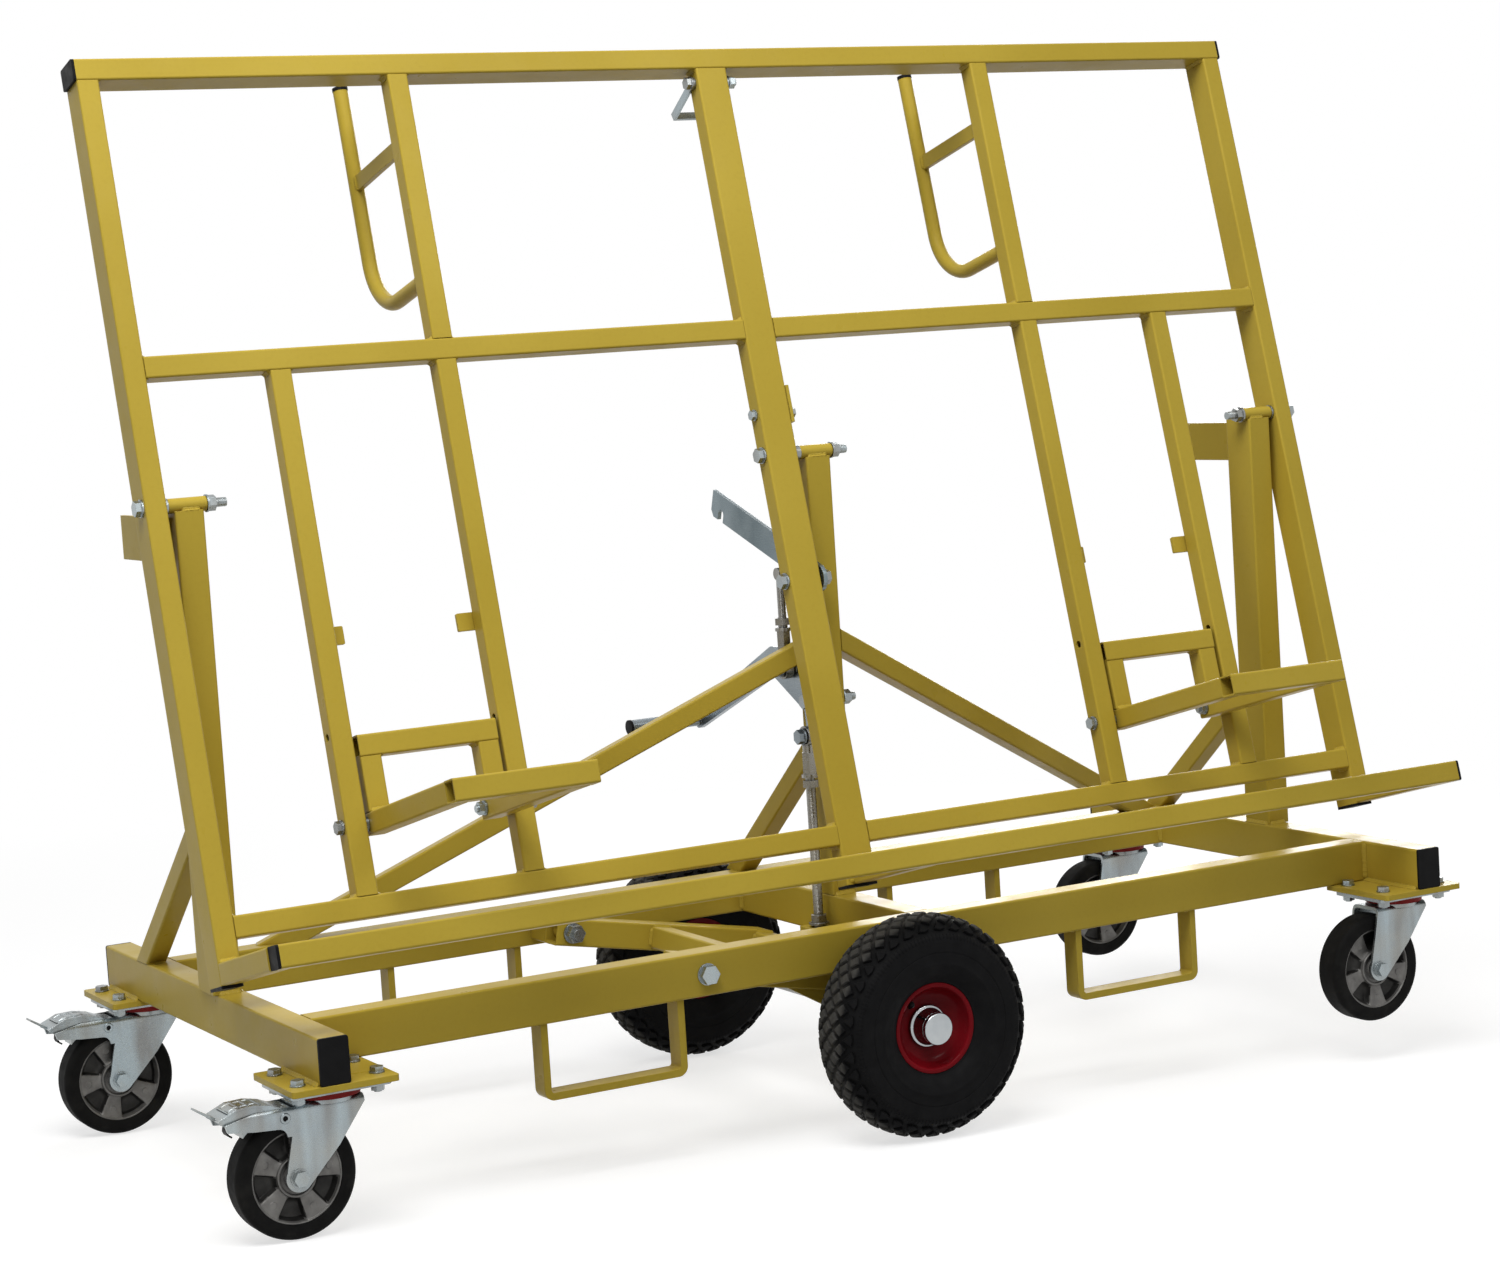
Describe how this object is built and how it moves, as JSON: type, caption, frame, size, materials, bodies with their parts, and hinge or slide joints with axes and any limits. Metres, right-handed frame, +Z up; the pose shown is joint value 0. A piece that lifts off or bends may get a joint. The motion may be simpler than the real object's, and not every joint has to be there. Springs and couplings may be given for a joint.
{
  "type": "drywall cart",
  "caption": "Tube-framed drywall cart: leaning board frame with ledge and fold-out supports, tipping on posts over a caster chassis with lowered pneumatic centre wheels.",
  "frame": {"origin": "bottom centre of the outer box, on the level of the lowest tread of the centre wheels", "axes": "+X along the cart to the right seen from the front, +Y to the rear, +Z up"},
  "size_m": [1.9874, 0.8806, 1.5379],
  "materials": {
    "yellow_paint": "satin powder coat, mustard yellow",
    "zinc_plate": "bright zinc plating with a bluish cast",
    "black_plastic": "moulded matt",
    "red_plastic": "moulded matt",
    "red_paint": "gloss paint",
    "chrome": "polished",
    "tyre": "matt rubber",
    "caster_rubber": "matt elastic rubber",
    "cast_aluminium": "as cast"
  },
  "bodies": {
    "base": {"end_beams": "yellow_paint", "long_rails": "yellow_paint", "cross_member": "yellow_paint", "fork_loops": "yellow_paint", "caster_plates": "yellow_paint", "beam_caps": "black_plastic", "posts": "yellow_paint", "stop_plates": "yellow_paint", "post_braces": "yellow_paint", "long_braces": "yellow_paint", "caster_bolts": "zinc_plate", "caster_heads": "zinc_plate", "caster_seals": "red_plastic", "swing_bolts": "zinc_plate", "pivot_stub": "yellow_paint", "lever_bolt": "zinc_plate"},
    "tilt_frame": {"top_rail": "yellow_paint", "side_stiles": "yellow_paint", "centre_stile": "yellow_paint", "cross_rails": "yellow_paint", "inner_stiles": "yellow_paint", "ledge_rail": "yellow_paint", "ledge_arms": "yellow_paint", "frame_caps": "black_plastic", "push_handles": "yellow_paint", "stop_tabs": "yellow_paint", "tilt_bolts": "zinc_plate", "support_bolts": "zinc_plate", "latch_bolts": "zinc_plate"},
    "support_left": {"support_left": "yellow_paint"},
    "support_right": {"support_right": "yellow_paint"},
    "bail": {"bail": "zinc_plate"},
    "stay_bar": {"stay_bar": "zinc_plate"},
    "lever": {"lever": "zinc_plate", "lever_plug": "black_plastic"},
    "lower_rod": {"lower_rod": "zinc_plate"},
    "upper_rod": {"upper_rod": "zinc_plate"},
    "swing_arm": {"swing_arm": "yellow_paint", "axle": "zinc_plate", "hub_caps": "chrome"},
    "wheel_front": {"tyre_front": "tyre", "rim_front": "red_paint"},
    "wheel_rear": {"tyre_rear": "tyre", "rim_rear": "red_paint"},
    "caster_fl": {"fork_fl": "zinc_plate"},
    "roller_fl": {"tread_fl": "caster_rubber", "disc_fl": "cast_aluminium"},
    "pedal_fl": {"pedal_fl": "zinc_plate"},
    "caster_fr": {"fork_fr": "zinc_plate"},
    "roller_fr": {"tread_fr": "caster_rubber", "disc_fr": "cast_aluminium"},
    "caster_rl": {"fork_rl": "zinc_plate"},
    "roller_rl": {"tread_rl": "caster_rubber", "disc_rl": "cast_aluminium"},
    "pedal_rl": {"pedal_rl": "zinc_plate"},
    "caster_rr": {"fork_rr": "zinc_plate"},
    "roller_rr": {"tread_rr": "caster_rubber", "disc_rr": "cast_aluminium"}
  },
  "joints": [
    {"name": "frame_tip", "type": "hinge", "parent": "base", "child": "tilt_frame", "pos_m": [0.04226, -0.03272, 0.943], "axis": [-1, 0, 0], "range_deg": [0, 76]},
    {"name": "support_left_fold", "type": "hinge", "parent": "tilt_frame", "child": "support_left", "pos_m": [-0.55974, -0.14134, 0.50734], "axis": [-1, 0, 0], "range_deg": [0, 89]},
    {"name": "support_right_fold", "type": "hinge", "parent": "tilt_frame", "child": "support_right", "pos_m": [0.64426, -0.14134, 0.50734], "axis": [-1, 0, 0], "range_deg": [0, 89]},
    {"name": "bail_turn", "type": "hinge", "parent": "tilt_frame", "child": "bail", "pos_m": [0.05726, 0.10324, 1.48831], "axis": [1, 0, 0], "range_deg": [-45, 35]},
    {"name": "stay_turn", "type": "hinge", "parent": "tilt_frame", "child": "stay_bar", "pos_m": [0.08726, -0.07772, 0.76253], "axis": [1, 0, 0], "range_deg": [0, 25.7]},
    {"name": "lever_turn", "type": "hinge", "parent": "base", "child": "lever", "pos_m": [0.08826, -0.03272, 0.58], "axis": [-1, 0, 0], "range_deg": [0, 45]},
    {"name": "lower_rod_turn", "type": "hinge", "parent": "lever", "child": "lower_rod", "pos_m": [0.07626, -0.03708, 0.53019], "axis": [1, 0, 0], "range_deg": [0, 52.4]},
    {"name": "upper_rod_turn", "type": "hinge", "parent": "lever", "child": "upper_rod", "pos_m": [0.07626, 0.01528, 0.626], "axis": [1, 0, 0], "range_deg": [0, 53.1]},
    {"name": "swing_arm_turn", "type": "hinge", "parent": "base", "child": "swing_arm", "pos_m": [-0.24274, -0.03072, 0.262], "axis": [0, -1, 0], "range_deg": [0, 3.28]},
    {"name": "wheel_front_spin", "type": "hinge", "parent": "swing_arm", "child": "wheel_front", "pos_m": [0.05426, -0.34272, 0.155], "axis": [0, 1, 0], "continuous": true},
    {"name": "wheel_rear_spin", "type": "hinge", "parent": "swing_arm", "child": "wheel_rear", "pos_m": [0.05426, 0.34128, 0.155], "axis": [0, 1, 0], "continuous": true},
    {"name": "swivel_fl", "type": "hinge", "parent": "base", "child": "caster_fl", "pos_m": [-0.81874, -0.33472, 0.194], "axis": [0, 0, 1], "continuous": true},
    {"name": "roll_fl", "type": "hinge", "parent": "caster_fl", "child": "roller_fl", "pos_m": [-0.87374, -0.33472, 0.114], "axis": [0, 1, 0], "continuous": true},
    {"name": "brake_fl", "type": "hinge", "parent": "caster_fl", "child": "pedal_fl", "pos_m": [-0.88674, -0.33472, 0.192], "axis": [0, -1, 0], "range_deg": [0, 8]},
    {"name": "swivel_fr", "type": "hinge", "parent": "base", "child": "caster_fr", "pos_m": [0.90326, -0.33472, 0.194], "axis": [0, 0, 1], "continuous": true},
    {"name": "roll_fr", "type": "hinge", "parent": "caster_fr", "child": "roller_fr", "pos_m": [0.84826, -0.33472, 0.114], "axis": [0, 1, 0], "continuous": true},
    {"name": "swivel_rl", "type": "hinge", "parent": "base", "child": "caster_rl", "pos_m": [-0.81874, 0.36928, 0.194], "axis": [0, 0, 1], "continuous": true},
    {"name": "roll_rl", "type": "hinge", "parent": "caster_rl", "child": "roller_rl", "pos_m": [-0.87374, 0.36928, 0.114], "axis": [0, 1, 0], "continuous": true},
    {"name": "brake_rl", "type": "hinge", "parent": "caster_rl", "child": "pedal_rl", "pos_m": [-0.88674, 0.36928, 0.192], "axis": [0, -1, 0], "range_deg": [0, 8]},
    {"name": "swivel_rr", "type": "hinge", "parent": "base", "child": "caster_rr", "pos_m": [0.90326, 0.36928, 0.194], "axis": [0, 0, 1], "continuous": true},
    {"name": "roll_rr", "type": "hinge", "parent": "caster_rr", "child": "roller_rr", "pos_m": [0.84826, 0.36928, 0.114], "axis": [0, 1, 0], "continuous": true}
  ],
  "couplings": [
    {"joint": "stay_turn", "follows": "frame_tip", "ratio": 0.33016},
    {"joint": "lower_rod_turn", "follows": "lever_turn", "ratio": 1.1536},
    {"joint": "upper_rod_turn", "follows": "lever_turn", "ratio": 1.1682},
    {"joint": "swing_arm_turn", "follows": "lever_turn", "ratio": 0.07075}
  ]
}
